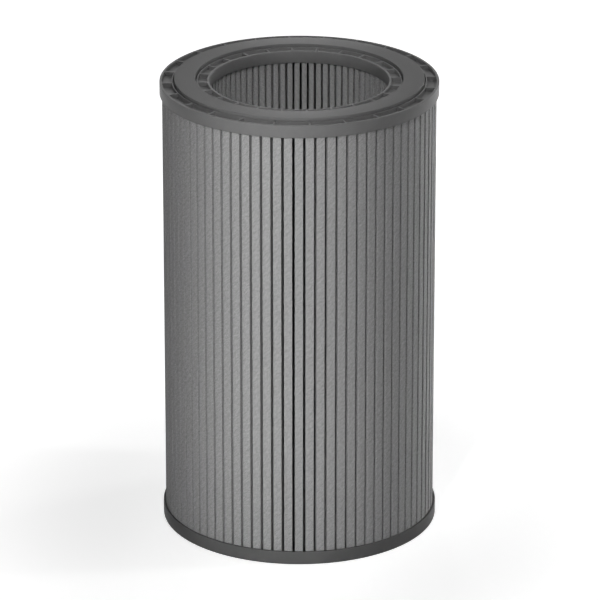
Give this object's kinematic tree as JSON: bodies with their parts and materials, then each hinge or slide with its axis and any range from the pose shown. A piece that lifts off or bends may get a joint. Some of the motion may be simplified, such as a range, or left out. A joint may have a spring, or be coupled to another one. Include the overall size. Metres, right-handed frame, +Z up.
{
  "type": "air purifier filter",
  "caption": "Upright cylindrical pleated air filter with moulded end caps, a ribbed top ring, a flat outlet seal and an open centre.",
  "frame": {"origin": "centre of the bottom end cap's underside, on the floor", "axes": "+Z up along the filter's axis to the air outlet, -Y towards the camera's side"},
  "size_m": [0.2, 0.2, 0.3368],
  "materials": {
    "cap_plastic": "fine satin moulding",
    "base_plastic": "fine satin moulding, darker than the top cap",
    "filter_cloth": "thick felted nonwoven",
    "seal_rubber": "smooth matt",
    "potting_adhesive": "cast, slightly glossy"
  },
  "bodies": {
    "root": {"top_end_cap": "cap_plastic", "bottom_end_cap": "base_plastic", "pleated_media": "filter_cloth", "outlet_seal": "seal_rubber", "top_potting": "potting_adhesive", "bottom_potting": "potting_adhesive"}
  },
  "joints": []
}
